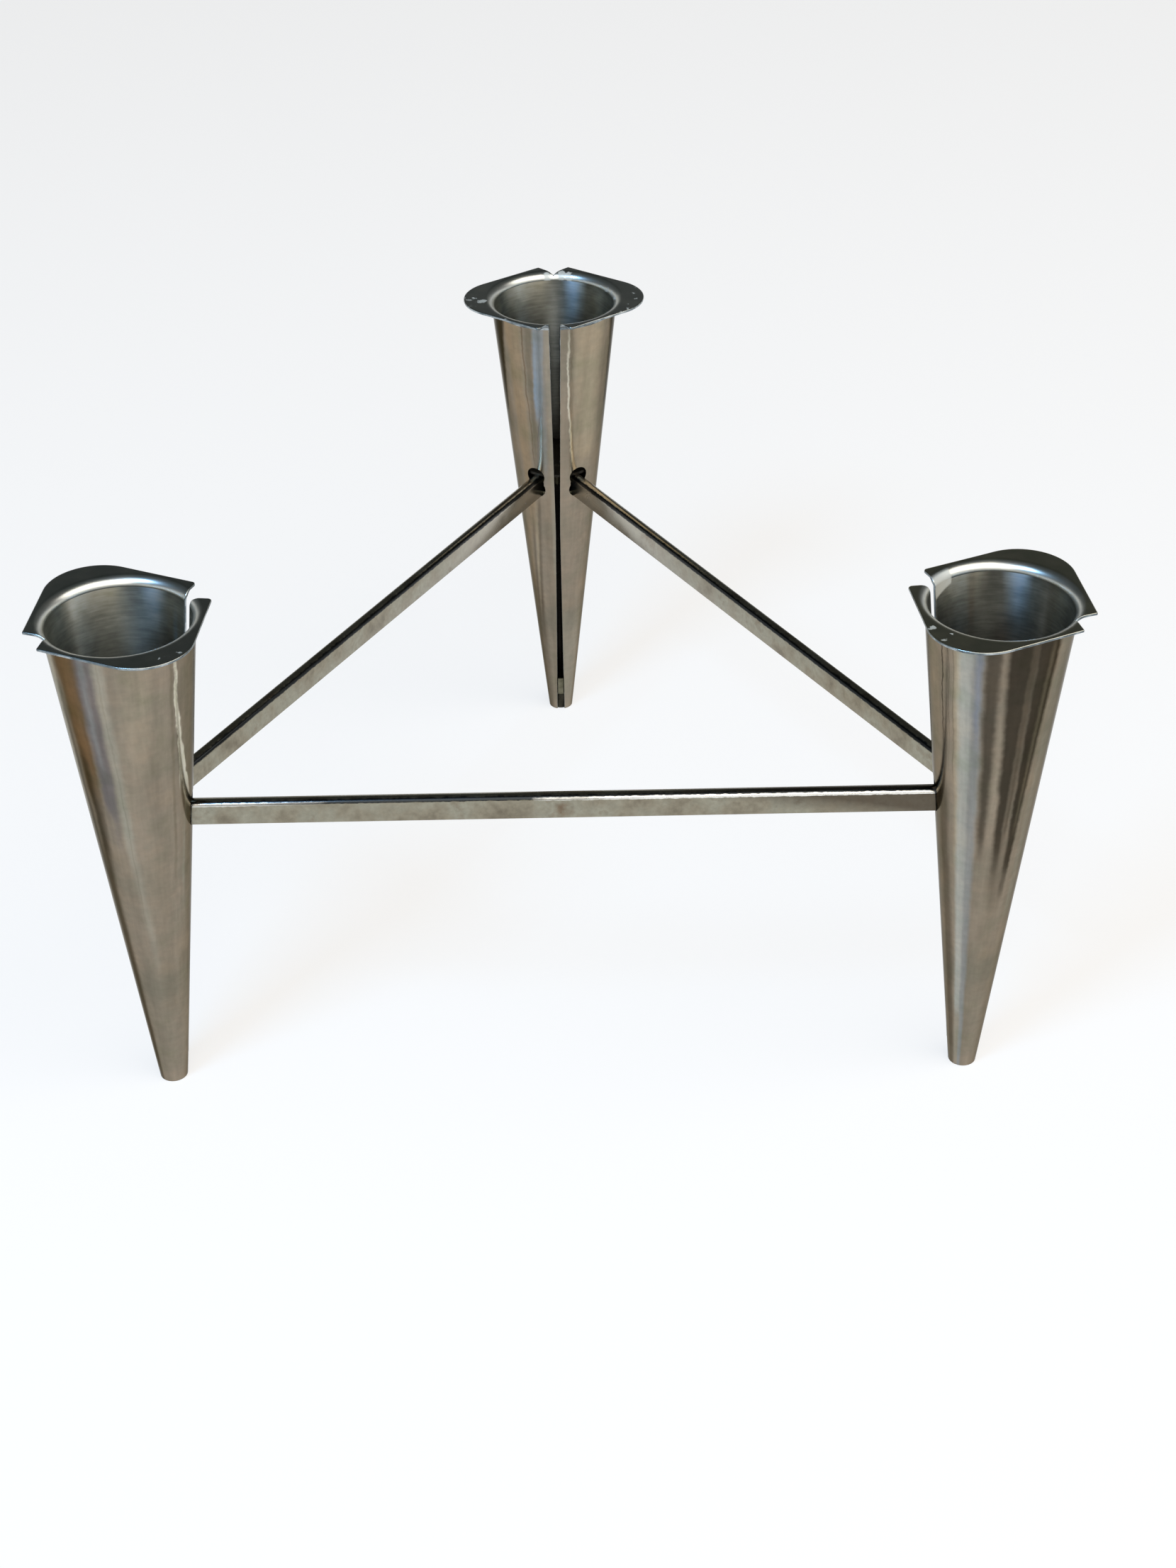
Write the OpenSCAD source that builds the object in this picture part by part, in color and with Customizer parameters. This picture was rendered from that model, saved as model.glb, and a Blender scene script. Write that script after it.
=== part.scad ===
// Candelabra of three cone legs, each rolled from one sheet and flared at the top into a candle cup.
// The legs stand at the corners of a triangle of flat bars, which pass through drilled holes in the
// cones and are mitred and welded together inside them. Millimetres, +Z up, tips on Z = 0.

/* [Layout] */
// Distance between the axes of two legs
leg_spacing = 255; // [220:1:300]

/* [Cone] */
// Height of a leg, from its tip to the top of its flange
leg_height = 171; // [150:1:200]
// Outer radius of the cone, carried up to the flange top
rim_radius = 22.55; // [20:0.05:26]
// Outer radius of the cone at its tip
tip_radius = 4.4; // [3.5:0.1:6]
// Thickness of the rolled sheet
sheet_thickness = 0.9; // [0.6:0.1:1.2]
// Bevel that takes the sharp outer edge off the tip
tip_bevel = 0.5; // [0.2:0.1:0.6]

/* [Flange] */
// Radius of the bend from the cup wall to the flange, on its upper side
bend_radius = 3.1; // [2:0.1:4]
// How far the two side lobes reach past the cone
lobe_overhang = 9.65; // [8:0.05:12]
// Radius of the rounded end of a lobe
lobe_radius = 15.6; // [12:0.1:18]
// How far the corners beside the notches reach past the cone
corner_overhang = 4.55; // [4:0.05:7]
// Half the distance between the two corners of a notch
corner_half_gap = 5.5; // [4:0.1:7]
// How deep the outer notch goes below the flange top
notch_depth = 1.5; // [1.2:0.1:2]
// How far inside the cone's outer face the outer notch starts
notch_root_inset = 0.45; // [0.2:0.05:0.8]

/* [Slot] */
// Width of the open seam at the flange
slot_rim_width = 3.7; // [2:0.1:5]
// Width of the open seam at its narrowest place
slot_waist_width = 1.3; // [1:0.1:2]
// Height of that narrowest place
slot_waist_height = 85; // [60:1:110]
// Width of the open seam at the tip
slot_tip_width = 2.1; // [1.5:0.1:2.6]

/* [Bars] */
// Thickness of the flat bars
bar_thickness = 4; // [3:0.1:5]
// Depth of the flat bars, standing on edge
bar_depth = 8; // [6:0.5:10]
// Height of the underside of the bars
bar_base_height = 98.6; // [80:0.1:110]
// How much wider than the bar's thickness each drilling is
drilling_play = 3; // [2:0.1:4]
// Room beside the bar at the waist between the two drillings
waist_room = 0.34; // [0.2:0.02:0.6]
// Gap left under the bar where it sits in its drilling
seat_gap = 0.07; // [0.04:0.01:0.2]

/* [Candle rest] */
// Thickness of the plate that a candle stands on
rest_thickness = 1; // [0.8:0.1:2]
// Room around the plate inside the cone
rest_clearance = 0.15; // [0.1:0.05:0.5]

/* [Tip] */
// Height of the solid plug in the tip
plug_height = 12.5; // [8:0.5:20]
// Height at which the weld across the slot starts
tip_weld_base = 7.6; // [4:0.1:10]
// Height of the weld across the slot
tip_weld_height = 7.4; // [4:0.1:10]
// How far that weld stands proud of the cone
tip_weld_crown = 0.2; // [0.1:0.05:0.4]
// Gap between round faces that are fitted into each other
fit_clearance = 0.05; // [0.03:0.01:0.1]

/* [Joints of the bars] */
// Width of the weld between two mitred bar ends
mitre_gap = 0.5; // [0.3:0.1:1]
// Radius of the weld bead down each corner of a mitre
mitre_bead_radius = 1.1; // [0.8:0.1:1.6]
// Radius of the weld bead under a bar, inside the cone
seat_bead_radius = 1.4; // [1:0.1:2]
// How far that bead runs on past each side of the bar
seat_bead_lap = 1; // [0.5:0.1:1.5]

/* [Hidden] */
$fn = 96;
// Overrun that lets every cut pass clear through what it cuts
overrun = 2;

// The triangle: bearings of the legs around its centre, and half the angle at its corners
back_bearing = 90;
left_bearing = 210;
right_bearing = 330;
bar_turns = [0, 120, 240];
seam_angle = 30;
leg_circle_radius = leg_spacing / 2 / cos(seam_angle);
bar_line_offset = leg_circle_radius * sin(seam_angle);

// The cone's wall, measured level across the sheet, and its radii at a height
wall_angle = atan((rim_radius - tip_radius) / leg_height);
wall_run = sheet_thickness / cos(wall_angle);
function cone_outer(z) = tip_radius + (rim_radius - tip_radius) * z / leg_height;
function cone_inner(z) = cone_outer(z) - wall_run;

// Centre of the bend between the wall and the flange, as radius and height
bend_centre = [
    cone_inner(leg_height - bend_radius) + bend_radius / cos(wall_angle),
    leg_height - bend_radius
];
bend_steps = 12;

// Outline of the flange, seen from above
lobe_centre = rim_radius + lobe_overhang - lobe_radius;
corner_reach = rim_radius + corner_overhang;
notch_root = rim_radius - notch_root_inset;
notch_slope = (corner_half_gap - slot_rim_width / 2) / (corner_reach - notch_root);
mouth_apex = corner_reach - corner_half_gap / notch_slope;
flange_limit = rim_radius + lobe_overhang + overrun;
corner_to_lobe = norm([corner_reach, corner_half_gap - lobe_centre]);
tangent_angle = atan2(corner_half_gap - lobe_centre, corner_reach) + acos(lobe_radius / corner_to_lobe);
lobe_tangent = [lobe_radius * cos(tangent_angle), lobe_centre + lobe_radius * sin(tangent_angle)];

// How far a flange reaches from its leg's axis at an angle from the outward direction
function flange_support(angle) = max(
    lobe_centre * sin(angle) + lobe_radius,
    corner_reach * cos(angle) + corner_half_gap * sin(angle)
);

// The frame's origin lies under the middle of the bounding box
rear_limit = leg_circle_radius + flange_support(0);
front_limit = bar_line_offset + flange_support(2 * seam_angle);
triangle_centre_y = (front_limit - rear_limit) / 2;

// The two drillings of each bar hole
bar_top_height = bar_base_height + bar_depth;
drilling_radius = (bar_thickness + drilling_play) / 2;
seat_rise = sqrt(pow(drilling_radius, 2) - pow(bar_thickness / 2, 2)) - seat_gap;
drilling_pitch = 2 * sqrt(pow(drilling_radius, 2) - pow(bar_thickness / 2 + waist_room, 2));
drilling_steps = max(1, round((bar_depth - seat_rise) / drilling_pitch));

// The mitred bar ends
mitre_half_length = bar_thickness / 2 / sin(seam_angle);
mitre_run = bar_thickness / 2 / tan(seam_angle);
mitre_setback = mitre_gap / 2 / sin(seam_angle);

// Puts a piece modelled about a leg's axis, with +X outwards, on the leg at a bearing
module at_leg(bearing) {
    translate([0, triangle_centre_y, 0])
        rotate([0, 0, bearing])
            translate([leg_circle_radius, 0, 0])
                children();
}

// The sheet cut across, as radius and height: wall, bend and flange
function bend_arc(radius, from, to) = [
    for (step = [0 : bend_steps])
        bend_centre + radius * [cos(from + (to - from) * step / bend_steps),
                                sin(from + (to - from) * step / bend_steps)]
];

module shell_section() {
    along_wall = 180 - wall_angle;
    polygon(concat(
        [[cone_inner(0), 0], [cone_outer(0) - tip_bevel, 0], [cone_outer(tip_bevel), tip_bevel]],
        bend_arc(bend_radius - sheet_thickness, along_wall, 90),
        [[flange_limit, leg_height - sheet_thickness], [flange_limit, leg_height]],
        bend_arc(bend_radius, 90, along_wall)
    ));
}

// Flange seen from above: two round lobes, straight sides, a notch outside and the slot's mouth inside
module flange_outline() {
    for (side = [-1, 1])
        translate([0, side * lobe_centre])
            circle(r = lobe_radius);
    polygon([
        lobe_tangent,
        [corner_reach, corner_half_gap],
        [notch_root, 0],
        [corner_reach, -corner_half_gap],
        [lobe_tangent.x, -lobe_tangent.y],
        [-lobe_tangent.x, -lobe_tangent.y],
        [-corner_reach, -corner_half_gap],
        [-mouth_apex, 0],
        [-corner_reach, corner_half_gap],
        [-lobe_tangent.x, lobe_tangent.y]
    ]);
}

// The open seam on the side of the leg that faces the middle of the triangle
module slot_space() {
    half_widths = [
        [slot_tip_width / 2, -overrun],
        [slot_tip_width / 2, 0],
        [slot_waist_width / 2, slot_waist_height],
        [slot_rim_width / 2, leg_height],
        [slot_rim_width / 2, leg_height + overrun]
    ];
    last = len(half_widths) - 1;
    mirrored = [for (i = [last : -1 : 0]) [-half_widths[i].x, half_widths[i].y]];
    rotate([90, 0, -90])
        linear_extrude(height = flange_limit)
            polygon(concat(half_widths, mirrored));
}

// Two bar holes, each of overlapping drillings one above the other, along the bars
module bar_holes() {
    for (side = [-1, 1], step = [0 : drilling_steps])
        rotate([0, 0, 180 + side * seam_angle])
            translate([0, 0, bar_base_height + seat_rise + step * drilling_pitch])
                rotate([0, 90, 0])
                    cylinder(h = rim_radius, r = drilling_radius);
}

// One leg: a cone rolled from sheet, open along its seam, with its top turned out into a flange
module leg_shell() {
    color("#a39d91")
    difference() {
        intersection() {
            rotate_extrude() shell_section();
            union() {
                translate([0, 0, -overrun])
                    cylinder(h = leg_height - notch_depth + overrun, r = flange_limit);
                translate([0, 0, leg_height - notch_depth])
                    linear_extrude(height = notch_depth + overrun)
                        flange_outline();
            }
        }
        slot_space();
        bar_holes();
    }
}

// One bar seen from above, from leg to leg along the front, mitred on both legs' seam planes
module bar_outline() {
    start = -leg_spacing / 2;
    translate([0, -bar_line_offset])
        polygon([
            [start + mitre_setback - mitre_run, -bar_thickness / 2],
            [-start - mitre_setback + mitre_run, -bar_thickness / 2],
            [-start - mitre_setback - mitre_run, bar_thickness / 2],
            [start + mitre_setback + mitre_run, bar_thickness / 2]
        ]);
}

// The triangle of bars seen from above
module triangle_outline() {
    translate([0, triangle_centre_y])
        for (turn = bar_turns)
            rotate(turn)
                bar_outline();
}

// A flat bar on edge, turned about the middle of the triangle to one of its three sides
module flat_bar(turn) {
    color("#8f897e")
    translate([0, triangle_centre_y, bar_base_height])
        rotate([0, 0, turn])
            linear_extrude(height = bar_depth)
                bar_outline();
}

// Round plate that lies on the bars inside the cone and carries the candle
module candle_rest() {
    color("#4a4844")
    translate([0, 0, bar_top_height])
        cylinder(
            h = rest_thickness,
            r1 = cone_inner(bar_top_height) - rest_clearance,
            r2 = cone_inner(bar_top_height + rest_thickness) - rest_clearance
        );
}

// Weld between two mitred bar ends, with a bead down its inner and its outer corner
module mitre_weld(bearing) {
    color("#77736a")
    translate([0, 0, bar_base_height])
        linear_extrude(height = bar_depth)
            difference() {
                at_leg(bearing) {
                    translate([-mitre_half_length, -mitre_gap])
                        square([2 * mitre_half_length, 2 * mitre_gap]);
                    for (end = [-1, 1])
                        translate([end * mitre_half_length, 0])
                            circle(r = mitre_bead_radius);
                }
                triangle_outline();
            }
}

// Space inside the cone, short of its wall by the fit
module cone_space() {
    cylinder(h = leg_height, r1 = cone_inner(0) - fit_clearance, r2 = cone_inner(leg_height) - fit_clearance);
}

// Two beads, one under each bar where it comes through the wall
module bar_seat_welds(bearing) {
    bead_length = bar_thickness + 2 * seat_bead_lap;
    color("#77736a")
    difference() {
        at_leg(bearing) intersection() {
            cone_space();
            for (side = [-1, 1])
                rotate([0, 0, 180 + side * seam_angle])
                    translate([cone_inner(bar_base_height), bead_length / 2, bar_base_height])
                        rotate([90, 0, 0])
                            cylinder(h = bead_length, r = seat_bead_radius);
        }
        for (turn = bar_turns)
            flat_bar(turn);
    }
}

// Solid cone that closes the tip and stands on the table
module tip_plug() {
    color("#5c5850")
    cylinder(
        h = plug_height,
        r1 = cone_inner(0) - fit_clearance,
        r2 = cone_inner(plug_height) - fit_clearance
    );
}

// Weld that bridges the slot above the tip and holds the plug
module tip_weld() {
    color("#77736a")
    intersection() {
        slot_space();
        translate([0, 0, tip_weld_base])
            cylinder(h = tip_weld_height, r = flange_limit);
        difference() {
            cylinder(h = leg_height, r1 = cone_outer(0) + tip_weld_crown, r2 = rim_radius + tip_weld_crown);
            cone_space();
        }
    }
}

module back_leg_shell() { at_leg(back_bearing) leg_shell(); }
module left_leg_shell() { at_leg(left_bearing) leg_shell(); }
module right_leg_shell() { at_leg(right_bearing) leg_shell(); }
module front_bar() { flat_bar(bar_turns[0]); }
module rear_right_bar() { flat_bar(bar_turns[1]); }
module rear_left_bar() { flat_bar(bar_turns[2]); }
module back_candle_rest() { at_leg(back_bearing) candle_rest(); }
module left_candle_rest() { at_leg(left_bearing) candle_rest(); }
module right_candle_rest() { at_leg(right_bearing) candle_rest(); }
module back_mitre_weld() { mitre_weld(back_bearing); }
module left_mitre_weld() { mitre_weld(left_bearing); }
module right_mitre_weld() { mitre_weld(right_bearing); }
module back_bar_seat_welds() { bar_seat_welds(back_bearing); }
module left_bar_seat_welds() { bar_seat_welds(left_bearing); }
module right_bar_seat_welds() { bar_seat_welds(right_bearing); }
module back_tip_plug() { at_leg(back_bearing) tip_plug(); }
module left_tip_plug() { at_leg(left_bearing) tip_plug(); }
module right_tip_plug() { at_leg(right_bearing) tip_plug(); }
module back_tip_weld() { at_leg(back_bearing) tip_weld(); }
module left_tip_weld() { at_leg(left_bearing) tip_weld(); }
module right_tip_weld() { at_leg(right_bearing) tip_weld(); }

back_leg_shell();
left_leg_shell();
right_leg_shell();
rear_left_bar();
rear_right_bar();
front_bar();
back_candle_rest();
left_candle_rest();
right_candle_rest();
back_mitre_weld();
left_mitre_weld();
right_mitre_weld();
back_bar_seat_welds();
left_bar_seat_welds();
right_bar_seat_welds();
back_tip_plug();
left_tip_plug();
right_tip_plug();
back_tip_weld();
left_tip_weld();
right_tip_weld();
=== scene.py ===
# Looks of the candelabra: three rolled cone legs, flared into cups and tied by a triangle of flat bars.
# Sizes below are in millimetres and become metres where a mesh is made.
import math

import bpy
from mathutils import Matrix, Vector


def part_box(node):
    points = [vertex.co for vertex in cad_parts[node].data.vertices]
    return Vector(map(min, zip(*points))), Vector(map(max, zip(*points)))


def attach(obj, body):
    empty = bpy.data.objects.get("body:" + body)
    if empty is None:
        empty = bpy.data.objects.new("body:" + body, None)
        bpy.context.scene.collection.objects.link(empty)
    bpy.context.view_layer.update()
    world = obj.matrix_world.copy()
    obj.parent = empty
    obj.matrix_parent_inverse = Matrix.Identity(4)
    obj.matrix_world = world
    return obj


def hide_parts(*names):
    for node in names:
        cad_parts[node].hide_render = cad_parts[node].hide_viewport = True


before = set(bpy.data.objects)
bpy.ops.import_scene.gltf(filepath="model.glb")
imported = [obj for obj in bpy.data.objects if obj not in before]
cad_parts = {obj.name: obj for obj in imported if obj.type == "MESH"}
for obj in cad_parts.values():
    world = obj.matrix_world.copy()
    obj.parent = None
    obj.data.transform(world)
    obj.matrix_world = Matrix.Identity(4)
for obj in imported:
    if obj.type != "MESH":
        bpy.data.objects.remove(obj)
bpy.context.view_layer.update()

MM = 0.001


def node_centre(name):
    low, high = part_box(name)
    return (low + high) / 2 / MM


# The legs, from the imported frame: axis of each, and the bearing of its outward side in degrees
LEGS = {"back": 90, "left": 210, "right": 330}
AXIS = {leg: node_centre(f"{leg}_tip_plug") for leg in LEGS}
LEG_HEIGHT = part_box("back_leg_shell")[1].z / MM
LEG_SPACING = (AXIS["right"] - AXIS["left"]).length
SEAM_ANGLE = 30
FRONT_BAR_LOW, FRONT_BAR_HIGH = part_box("front_bar")
BAR_BASE = FRONT_BAR_LOW.z / MM
BAR_TOP = FRONT_BAR_HIGH.z / MM
BAR_THICKNESS = (FRONT_BAR_HIGH.y - FRONT_BAR_LOW.y) / MM

# The rolled sheet
RIM_RADIUS = 22.55
TIP_RADIUS = 4.4
SHEET = 0.9
BEND_RADIUS = 3.1
EDGE_ROUNDING = 0.42
EDGE_MARGIN = 0.5

# Bevels: steps across an eased edge, and in degrees what counts as an edge and what is shaded smooth
EDGE_STEPS = 3
EDGE_ANGLE = 50
SMOOTH_ANGLE = 40

# The flange's outline about its leg's axis
LOBE_RADIUS = 15.58
LOBE_CENTRE = 16.6
CORNER_REACH = 27.1
CORNER_HALF_GAP = 5.5
NOTCH_ROOT = 22.1
MOUTH_ROUNDING = 1.2

# The open seam: width at heights from tip to rim
SLOT_WIDTHS = ((0, 2.1), (85, 1.3), (LEG_HEIGHT, 3.7))

# Bar holes: radius and height of each drilling, the middle one filing out the waist between the two others.
# The cutters start a little way out from the leg's axis
DRILLINGS = ((3.5, 101.4), (3.1, 104.0), (3.5, 106.6))
DRILL_START = 1
DRILL_SIDES = 48

# Flat bars. A hair is too short to count
MITRE_GAP = 0.5
BAR_TOP_ROUNDING = 1.85
BAR_TOP_STEPS = 6
BAR_EDGE_ROUNDING = 0.7
HAIR = 0.001


# Shape of the sheet, as radius and height about a leg's axis
WALL_ANGLE = math.atan((RIM_RADIUS - TIP_RADIUS) / LEG_HEIGHT)
WALL_RUN = SHEET / math.cos(WALL_ANGLE)
BEND_SWEEP = math.pi / 2 - WALL_ANGLE
BEND_HEIGHT = LEG_HEIGHT - BEND_RADIUS


def cone_inner(height):
    return TIP_RADIUS + (RIM_RADIUS - TIP_RADIUS) * height / LEG_HEIGHT - WALL_RUN


BEND_MIDDLE = cone_inner(BEND_HEIGHT) + BEND_RADIUS / math.cos(WALL_ANGLE)
BEND_START = BEND_HEIGHT + BEND_RADIUS * math.sin(WALL_ANGLE)
LOBE_GAP = math.hypot(CORNER_REACH, CORNER_HALF_GAP - LOBE_CENTRE)
TANGENT = math.atan2(CORNER_HALF_GAP - LOBE_CENTRE, CORNER_REACH) + math.acos(LOBE_RADIUS / LOBE_GAP)
LOBE_POINT = (LOBE_RADIUS * math.cos(TANGENT), LOBE_CENTRE + LOBE_RADIUS * math.sin(TANGENT))
CORNER_POINT = (CORNER_REACH, CORNER_HALF_GAP)
CORNER_BEARING = math.atan2(CORNER_HALF_GAP, CORNER_REACH)
LOBE_BEARING = math.atan2(LOBE_POINT[1], LOBE_POINT[0])


def linear(code):
    """Scene-linear colour of an sRGB hex code."""
    parts = [int(code[i:i + 2], 16) / 255 for i in (1, 3, 5)]
    return tuple(c / 12.92 if c <= 0.04045 else ((c + 0.055) / 1.055) ** 2.4 for c in parts) + (1.0,)


def add(tree, kind, inputs=None, stops=(), **settings):
    """Adds one shader node with its settings, inputs and colour stops, and gives its first live output."""
    made = tree.nodes.new("ShaderNode" + kind)
    for name, value in settings.items():
        setattr(made, name, value)
    for name, value in (inputs or {}).items():
        socket = made.inputs[name]
        if isinstance(value, bpy.types.NodeSocket):
            tree.links.new(value, socket)
        else:
            socket.default_value = linear(value) if isinstance(value, str) else value
    if stops:
        elements = made.color_ramp.elements
        while len(elements) < len(stops):
            elements.new(1.0)
        for element, (position, value) in zip(elements, stops):
            element.position = position
            element.color = linear(value) if isinstance(value, str) else (value, value, value, 1.0)
    return next((socket for socket in made.outputs if socket.enabled), None)


def grain(size):
    """Scale of a noise whose grain has a size in millimetres, on coordinates in metres."""
    return 1 / (size * MM)


# Settings of a Mix node that lays one colour over another. An overlay leaves a mid grey, #bcbcbc, as it is
COLOUR_MIX = {"data_type": "RGBA"}
OVERLAY = {"data_type": "RGBA", "blend_type": "OVERLAY"}


def new_material(name):
    """Empty material, its node tree and the Object coordinates in metres."""
    material = bpy.data.materials.new(name)
    material.use_nodes = True
    tree = material.node_tree
    tree.nodes.clear()
    return material, tree, add(tree, "TexCoord").node.outputs["Object"]


def finish_metal(tree, colour, roughness, relief, **more):
    """Ends a metal: colour, gloss and relief reach one shader, metal all over unless told otherwise."""
    shader = add(tree, "BsdfPrincipled", {
        "Base Color": colour, "Metallic": 1.0, "Roughness": roughness, "Normal": relief, **more})
    add(tree, "OutputMaterial", {"Surface": shader})


def about_axis(tree, place, leg):
    """Place, bearing in degrees and height in millimetres about a leg's axis."""
    centred = add(tree, "Mapping", {
        "Vector": place, "Location": (-AXIS[leg].x * MM, -AXIS[leg].y * MM, 0)})
    parts = add(tree, "SeparateXYZ", {0: centred}).node.outputs
    turn = add(tree, "Math", {0: parts["Y"], 1: parts["X"]}, operation="ARCTAN2")
    bearing = add(tree, "Math", {0: turn, 1: 180 / math.pi}, operation="MULTIPLY")
    height = add(tree, "Math", {0: parts["Z"], 1: 1 / MM}, operation="MULTIPLY")
    return centred, bearing, height


# Tones for the streaks and marks on the cones and in the cups, most of them painted reflections, highlights
# and shade, from bright to dark; white is old wax
TONES = {
    "ivory": "#ece8d8", "frost": "#d3e4f2", "cream": "#b9ad93", "beige": "#9c917e", "taupe": "#897f70",
    "olive": "#756d5d", "stone": "#9b988c", "pewter": "#a4a7a2", "mist": "#8b8f90", "steel_blue": "#8b9daf",
    "lavender": "#7f8590", "sky": "#a9c6e0", "slate": "#716c6c", "orange": "#7d5c38", "tan": "#93826a",
    "umber": "#5f4c36", "bark": "#4d453a", "painted_dark": "#38332b", "ink": "#1f1c18", "wax": "#ffffff",
}

# Painted reflections on each cone, laid as streaks: tone, strength, then height, bearing and width at the
# head and at the foot, and blur.
# Heights are in millimetres, bearings, widths and blurs in degrees.
REFLECTION_STREAKS = {
    "left": (
        ("ivory", 0.6, (LEG_HEIGHT, -166, 42), (105, -164, 26), 8),
        ("painted_dark", 0.55, (150, -146, 7), (86, -144, 8), 9),
        ("cream", 0.45, (112, -162, 18), (0, -160, 20), 10),
        ("bark", 0.8, (98, -139, 17), (0, -138, 20), 12),
        ("umber", 0.8, (LEG_HEIGHT, -128, 26), (118, -129, 18), 8),
        ("orange", 0.3, (LEG_HEIGHT, -129, 14), (122, -127, 12), 10),
        ("painted_dark", 0.8, (130, -134, 9), (92, -131, 12), 9),
        ("bark", 0.6, (118, -126, 10), (100, -126, 6), 7),
        ("slate", 0.9, (LEG_HEIGHT, -111, 16), (112, -110, 15), 7),
        ("mist", 0.5, (LEG_HEIGHT, -113, 5), (128, -112, 5), 5),
        ("slate", 0.75, (124, -112, 12), (108, -108, 8), 5),
        ("stone", 0.85, (LEG_HEIGHT, -100, 8), (96, -97, 8), 8),
        ("stone", 0.5, (112, -98.5, 9), (54, -86, 9), 12),
        ("beige", 0.45, (165, -75, 24), (130, -72, 24), 18),
        ("olive", 0.3, (LEG_HEIGHT, -100.5, 1), (70, -94, 1.2), 2),
        ("olive", 0.55, (LEG_HEIGHT, -42.5, 2.4), (90, -43, 4), 3),
        ("ivory", 0.9, (168, -38.5, 2.6), (140, -37, 4), 2),
        ("ivory", 1.0, (148, -37.2, 4), (122, -32.5, 5.5), 2),
        ("ivory", 1.0, (132, -34, 6), (108, -22, 11), 2),
        ("olive", 0.3, (LEG_HEIGHT, -16, 34), (90, -14, 34), 12),
        ("stone", 0.45, (100, -28, 5), (78, -30, 4), 5),
        ("olive", 0.4, (58, -38, 18), (24, -38, 20), 14),
        ("olive", 0.25, (110, -62, 26), (30, -66, 30), 22),
    ),
    "back": (
        ("tan", 0.75, (LEG_HEIGHT, -134, 20), (88, -131, 14), 9),
        ("painted_dark", 0.95, (LEG_HEIGHT, -155, 22), (126, -162, 5), 6),
        ("umber", 0.7, (LEG_HEIGHT, -122.5, 1.2), (112, -120, 1), 2),
        ("olive", 0.6, (LEG_HEIGHT, -116, 7), (112, -117, 5), 5),
        ("steel_blue", 1.0, (168, -106, 9), (134, -109, 9), 4),
        ("mist", 0.75, (LEG_HEIGHT, -105, 10), (108, -106, 9), 7),
        ("slate", 0.9, (140, -106.5, 1), (114, -115, 1), 1.6),
        ("stone", 0.45, (LEG_HEIGHT, -96, 6), (60, -96, 6), 4),
        ("ivory", 0.6, (165, -77, 1.6), (138, -76, 1.8), 2),
        ("ivory", 0.75, (142, -76, 1.8), (112, -71, 2.2), 2),
        ("olive", 0.6, (165, -74, 1), (116, -68.5, 1), 2),
        ("cream", 0.4, (LEG_HEIGHT, -54, 34), (112, -54, 32), 14),
        ("painted_dark", 0.95, (LEG_HEIGHT, -17, 17), (126, -17, 6), 6),
        ("bark", 0.6, (99, -117, 4), (40, -133, 8), 8),
        ("bark", 0.5, (92, -131, 4), (42, -143, 7), 8),
        ("cream", 0.35, (90, -123, 5), (45, -138, 5), 7),
        ("tan", 0.5, (96, -142, 12), (50, -150, 12), 12),
        ("olive", 0.45, (90, -158, 18), (0, -156, 20), 12),
        ("stone", 0.4, (40, -60, 60), (0, -60, 60), 20),
        ("bark", 0.45, (62, -144, 34), (-20, -144, 44), 18),
    ),
    "right": (
        ("beige", 0.5, (LEG_HEIGHT, -168, 30), (118, -168, 30), 6),
        ("ink", 0.85, (LEG_HEIGHT, -148, 1.2), (125, -149.5, 1), 1.5),
        ("bark", 0.5, (LEG_HEIGHT, -141.5, 0.8), (130, -141, 0.8), 1.6),
        ("bark", 0.5, (LEG_HEIGHT, -136.5, 1), (120, -136, 1), 1.6),
        ("bark", 0.6, (112, -152, 16), (0, -146, 20), 12),
        ("cream", 0.55, (LEG_HEIGHT, -131, 8), (90, -130, 8), 8),
        ("stone", 0.4, (100, -125, 14), (-20, -123, 20), 10),
        ("pewter", 0.85, (LEG_HEIGHT, -124, 14), (20, -124, 15), 8),
        ("mist", 0.8, (LEG_HEIGHT, -114, 9), (-20, -113, 12), 8),
        ("lavender", 0.8, (LEG_HEIGHT, -113, 5), (135, -113, 4), 5),
        ("painted_dark", 0.8, (LEG_HEIGHT, -102.5, 14), (92, -101, 8), 8),
        ("taupe", 0.3, (LEG_HEIGHT, -94, 4), (80, -94, 5), 4),
        ("painted_dark", 0.95, (LEG_HEIGHT, -82, 21), (84, -80.5, 8), 7),
        ("bark", 0.8, (LEG_HEIGHT, -71, 6), (96, -73, 5), 5),
        ("painted_dark", 0.95, (LEG_HEIGHT, -58.5, 23), (80, -64, 8), 6),
        ("olive", 0.45, (165, -55, 4), (100, -61, 3), 4),
        ("bark", 0.4, (98, -76, 22), (70, -76, 18), 16),
        ("olive", 0.35, (80, -78, 24), (36, -78, 26), 20),
        ("stone", 0.5, (LEG_HEIGHT, -38, 14), (60, -42, 12), 9),
    ),
}

# Painted reflection streaks on every cone's far side
FAR_REFLECTION_STREAKS = (
    ("cream", 0.45, (LEG_HEIGHT, 58, 16), (60, 62, 10), 12),
    ("olive", 0.55, (LEG_HEIGHT, 97, 12), (50, 92, 6), 9),
    ("bark", 0.5, (LEG_HEIGHT, 124, 8), (104, 121, 3), 8),
    ("mist", 0.45, (LEG_HEIGHT, 30, 12), (10, 33, 12), 10),
    ("stone", 0.4, (LEG_HEIGHT, 146, 10), (70, 148, 8), 9),
    ("bark", 0.35, (LEG_HEIGHT, 76, 3), (120, 77, 2), 4),
)
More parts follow.
